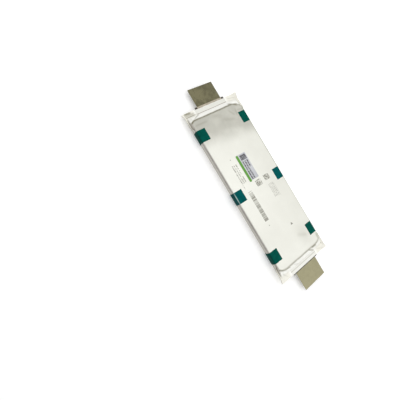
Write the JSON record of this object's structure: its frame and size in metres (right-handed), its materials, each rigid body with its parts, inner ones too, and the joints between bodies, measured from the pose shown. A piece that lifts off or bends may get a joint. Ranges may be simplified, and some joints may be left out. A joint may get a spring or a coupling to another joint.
{
  "type": "pouch battery cell",
  "caption": "Flat rectangular lithium pouch cell in a silvery laminate, with a flat bendable metal lead at each end, side tapes and a blank label.",
  "frame": {"origin": "under the middle of the rear face, on the plane that the cell lies on", "axes": "+X towards the positive (aluminium) lead, +Y across the width, +Z out of the labelled front face"},
  "size_m": [0.3646, 0.1078, 0.0142],
  "materials": {
    "laminate": "satin",
    "copper_lead": "satin",
    "aluminium_lead": "satin",
    "sealing_film": "matte",
    "green_tape": "satin",
    "label_paper": "matte",
    "anode": "matte",
    "cathode": "matte",
    "separator": "matte",
    "inner_tape": "satin"
  },
  "bodies": {
    "cell": {"pouch_front_shell": "laminate", "pouch_rear_shell": "laminate", "negative_tab_root": "copper_lead", "positive_tab_root": "aluminium_lead", "negative_tab_film_front": "sealing_film", "negative_tab_film_rear": "sealing_film", "positive_tab_film_front": "sealing_film", "positive_tab_film_rear": "sealing_film", "side_tape_near_negative_end": "green_tape", "side_tape_near_middle": "green_tape", "side_tape_near_positive_end": "green_tape", "side_tape_far_negative_end": "green_tape", "side_tape_far_middle": "green_tape", "side_tape_far_positive_end": "green_tape", "label_sticker": "label_paper", "anode_plate_01": "anode", "anode_plate_02": "anode", "anode_plate_03": "anode", "anode_plate_04": "anode", "anode_plate_05": "anode", "anode_plate_06": "anode", "anode_plate_07": "anode", "anode_plate_08": "anode", "anode_plate_09": "anode", "anode_plate_10": "anode", "anode_plate_11": "anode", "anode_plate_12": "anode", "anode_plate_13": "anode", "cathode_plate_01": "cathode", "cathode_plate_02": "cathode", "cathode_plate_03": "cathode", "cathode_plate_04": "cathode", "cathode_plate_05": "cathode", "cathode_plate_06": "cathode", "cathode_plate_07": "cathode", "cathode_plate_08": "cathode", "cathode_plate_09": "cathode", "cathode_plate_10": "cathode", "cathode_plate_11": "cathode", "cathode_plate_12": "cathode", "separator_web": "separator", "stack_tape_near_negative_end": "inner_tape", "stack_tape_near_positive_end": "inner_tape", "stack_tape_far_negative_end": "inner_tape", "stack_tape_far_positive_end": "inner_tape", "negative_weld_tape_front": "inner_tape", "negative_weld_tape_rear": "inner_tape", "positive_weld_tape_front": "inner_tape", "positive_weld_tape_rear": "inner_tape"},
    "negative_blade": {"negative_tab_blade": "copper_lead"},
    "positive_blade": {"positive_tab_blade": "aluminium_lead"}
  },
  "joints": [
    {"name": "negative_tab_bend", "type": "hinge", "parent": "cell", "child": "negative_blade", "pos_m": [-0.153, 0, 0.007], "axis": [0, 1, 0], "range_deg": [-90, 90]},
    {"name": "positive_tab_bend", "type": "hinge", "parent": "cell", "child": "positive_blade", "pos_m": [0.153, 0, 0.007], "axis": [0, -1, 0], "range_deg": [-90, 90]}
  ]
}
